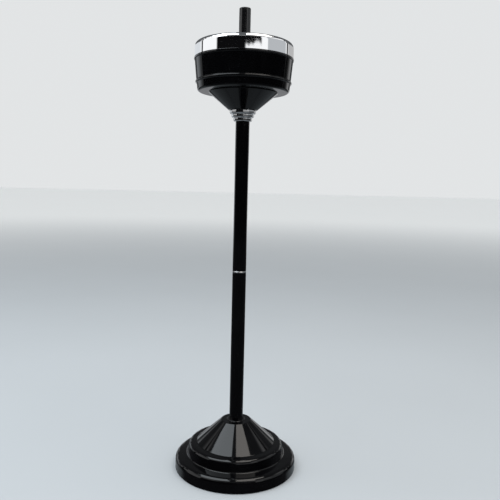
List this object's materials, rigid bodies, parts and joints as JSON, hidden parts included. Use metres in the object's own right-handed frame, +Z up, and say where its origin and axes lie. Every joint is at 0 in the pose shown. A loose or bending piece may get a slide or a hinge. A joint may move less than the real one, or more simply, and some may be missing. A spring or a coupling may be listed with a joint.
{
  "type": "pedestal ashtray bin",
  "caption": "Free-standing pedestal ashtray: weighted stepped base, jointed post, round bowl and a lift-off chrome lid with a push-down spinning disc.",
  "frame": {"origin": "middle of the base's underside, on the floor", "axes": "+Z up the post, X and Y level; the bridge strap under the lid lies along X"},
  "size_m": [0.163, 0.163, 0.6148],
  "materials": {
    "gloss_black": "high gloss black paint",
    "chrome": "polished",
    "plastic_black": "gloss black",
    "zinc_steel": "zinc plated",
    "spring_steel": "bright drawn",
    "brass": "machined",
    "cement": "cast",
    "rubber": "matt",
    "nylon": "natural"
  },
  "bodies": {
    "stand": {"base_pad": "rubber", "base_plate": "zinc_steel", "base_shell": "gloss_black", "base_weight": "cement", "base_washer": "zinc_steel", "base_bolt": "zinc_steel", "base_sleeve": "zinc_steel", "neck_bush": "plastic_black", "lower_tube": "gloss_black", "lower_socket": "zinc_steel", "lower_plug": "zinc_steel", "joint_ring": "chrome", "joint_stud": "zinc_steel", "upper_tube": "gloss_black", "upper_socket": "zinc_steel", "upper_plug": "zinc_steel", "bowl_collar": "chrome", "bowl_cone": "gloss_black", "bowl_spacer": "zinc_steel", "bowl_drum": "gloss_black", "bowl_washer": "zinc_steel", "bowl_bolt": "zinc_steel"},
    "lid": {"lid_shell": "chrome", "lid_spigot": "zinc_steel", "lid_bridge": "zinc_steel", "bridge_rivets": "zinc_steel", "spring_seat": "zinc_steel", "spindle_strip": "zinc_steel"},
    "knob": {"push_knob": "plastic_black", "knob_retainer": "spring_steel", "thrust_washer": "nylon", "spring_washer": "nylon", "return_spring": "spring_steel"},
    "spinner": {"spin_disc": "chrome", "hub_nut": "brass", "disc_rivets": "zinc_steel"}
  },
  "joints": [
    {"name": "lid_lift", "type": "slide", "parent": "stand", "child": "lid", "axis": [0, 0, 1], "range_m": [0, 0.08]},
    {"name": "knob_push", "type": "slide", "parent": "lid", "child": "knob", "axis": [0, 0, 1], "range_m": [-0.022, 0], "stiffness_N_per_m": 300, "springref_m": 0.01, "deforming": ["return_spring"]},
    {"name": "disc_spin", "type": "hinge", "parent": "knob", "child": "spinner", "pos_m": [0, 0, 0.55], "axis": [0, 0, 1], "range_deg": [-158.41, 0]}
  ],
  "couplings": [
    {"joint": "disc_spin", "follows": "knob_push", "rad_per_m": 125.66}
  ]
}
